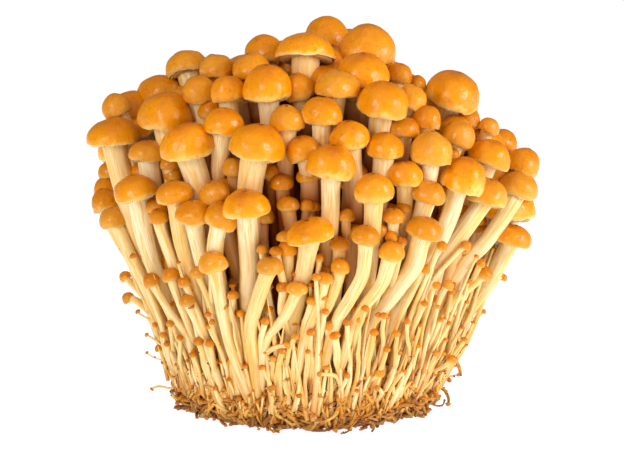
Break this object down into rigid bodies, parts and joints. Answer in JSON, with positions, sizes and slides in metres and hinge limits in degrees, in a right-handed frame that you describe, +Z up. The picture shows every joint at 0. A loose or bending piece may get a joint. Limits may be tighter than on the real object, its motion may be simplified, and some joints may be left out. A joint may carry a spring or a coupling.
{
  "type": "enoki mushroom bunch",
  "caption": "Upright bunch of golden enoki mushrooms: amber caps on pale curved stems, grown from one matted root block that stands on its flat underside.",
  "frame": {"origin": "middle of the flat underside of the root mat", "axes": "+Z up along the stems, the pictured side faces -Y, +X to the right of that view"},
  "size_m": [0.16, 0.147, 0.1394],
  "materials": {
    "cap_skin": "satin, moist skin",
    "stem_flesh": "matt, lengthwise fibres",
    "root_threads": "matted threads"
  },
  "bodies": {
    "root": {"root_mat": "root_threads", "stems": "stem_flesh", "caps_01": "cap_skin", "caps_02": "cap_skin", "caps_03": "cap_skin", "caps_04": "cap_skin", "caps_05": "cap_skin", "caps_06": "cap_skin", "caps_07": "cap_skin", "caps_08": "cap_skin", "caps_09": "cap_skin", "caps_10": "cap_skin", "caps_11": "cap_skin", "caps_12": "cap_skin", "caps_13": "cap_skin", "caps_14": "cap_skin", "caps_15": "cap_skin", "caps_16": "cap_skin", "caps_17": "cap_skin", "caps_18": "cap_skin", "caps_19": "cap_skin", "caps_20": "cap_skin", "caps_21": "cap_skin", "caps_22": "cap_skin", "caps_23": "cap_skin", "caps_24": "cap_skin", "caps_25": "cap_skin", "caps_26": "cap_skin", "caps_27": "cap_skin", "caps_28": "cap_skin", "caps_29": "cap_skin", "caps_30": "cap_skin", "caps_31": "cap_skin", "caps_32": "cap_skin", "caps_33": "cap_skin", "caps_34": "cap_skin", "caps_35": "cap_skin", "caps_36": "cap_skin", "caps_37": "cap_skin", "caps_38": "cap_skin", "caps_39": "cap_skin", "caps_40": "cap_skin", "caps_41": "cap_skin", "caps_42": "cap_skin", "caps_43": "cap_skin", "caps_44": "cap_skin", "caps_45": "cap_skin", "caps_46": "cap_skin", "caps_47": "cap_skin", "caps_48": "cap_skin", "caps_49": "cap_skin", "caps_50": "cap_skin", "caps_51": "cap_skin", "caps_52": "cap_skin", "caps_53": "cap_skin", "caps_54": "cap_skin", "caps_55": "cap_skin"}
  },
  "joints": []
}
